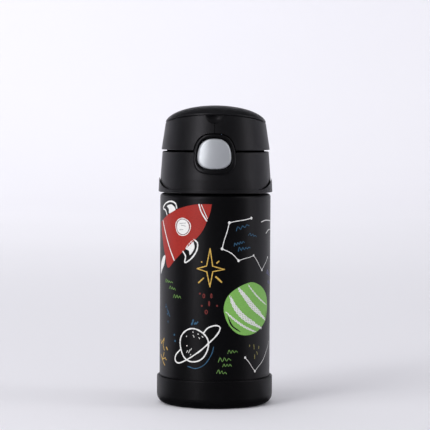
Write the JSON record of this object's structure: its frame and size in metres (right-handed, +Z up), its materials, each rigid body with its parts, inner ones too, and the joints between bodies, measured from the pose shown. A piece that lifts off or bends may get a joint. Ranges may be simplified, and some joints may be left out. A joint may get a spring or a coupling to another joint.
{
  "type": "insulated straw bottle",
  "caption": "Insulated steel drinking bottle with a screw lid, a push-button flip-up cover, a fold-down silicone spout and a straw.",
  "frame": {"origin": "centre of the base, on the surface that the bottle stands on", "axes": "+Z up along the bottle's axis, -Y towards the button at the front, +X to the right seen from the front"},
  "size_m": [0.07, 0.07, 0.18],
  "materials": {
    "body_paint": "matte black powder coat with printed doodles",
    "steel": "brushed stainless steel",
    "boot_plastic": "matte moulded black",
    "lid_plastic": "fine satin moulded black",
    "core_plastic": "moulded charcoal",
    "bezel_plastic": "semi-gloss moulded black",
    "button_silver": "satin silver paint",
    "silicone": "soft translucent silicone",
    "seal_rubber": "soft dark silicone",
    "straw_plastic": "translucent plastic",
    "spring_steel": "drawn spring steel wire"
  },
  "bodies": {
    "bottle": {"outer_shell": "body_paint", "inner_liner": "steel", "base_plate": "steel", "getter": "steel", "boot": "boot_plastic"},
    "seal": {"lid_gasket": "silicone"},
    "lid": {"grip_ring": "lid_plastic", "lid_collar": "lid_plastic", "lid_core": "core_plastic", "vent_valve": "silicone", "spout_base": "silicone", "stem_seal": "seal_rubber", "straw": "straw_plastic", "button_bezel": "bezel_plastic", "button_spring_left": "spring_steel", "button_spring_right": "spring_steel", "hinge_pin": "spring_steel", "hinge_spring": "spring_steel"},
    "cover": {"cover_shell": "lid_plastic", "cover_cap": "lid_plastic"},
    "spout": {"mouthpiece": "silicone"},
    "button": {"button_cap": "button_silver", "latch_slider": "core_plastic"}
  },
  "joints": [
    {"name": "lid_lift", "type": "slide", "parent": "bottle", "child": "seal", "axis": [0, 0, 1], "range_m": [0, 0.006]},
    {"name": "lid_turn", "type": "hinge", "parent": "seal", "child": "lid", "pos_m": [0, 0, 0.14], "axis": [0, 0, 1], "range_deg": [0, 540]},
    {"name": "cover_hinge", "type": "hinge", "parent": "lid", "child": "cover", "pos_m": [0, 0.03, 0.1554], "axis": [-1, 0, 0], "range_deg": [0, 110], "deforming": ["hinge_spring"]},
    {"name": "spout_bend", "type": "hinge", "parent": "lid", "child": "spout", "pos_m": [0, 0.008, 0.1588], "axis": [-1, 0, 0], "range_deg": [0, 66]},
    {"name": "button_press", "type": "slide", "parent": "lid", "child": "button", "axis": [0, 1, 0], "range_m": [0, 0.0018], "stiffness_N_per_m": 300, "deforming": ["button_spring_left", "button_spring_right"]}
  ],
  "couplings": [
    {"joint": "lid_lift", "follows": "lid_turn", "m_per_rad": 0.0006366},
    {"joint": "spout_bend", "follows": "cover_hinge", "ratio": 0.6}
  ]
}
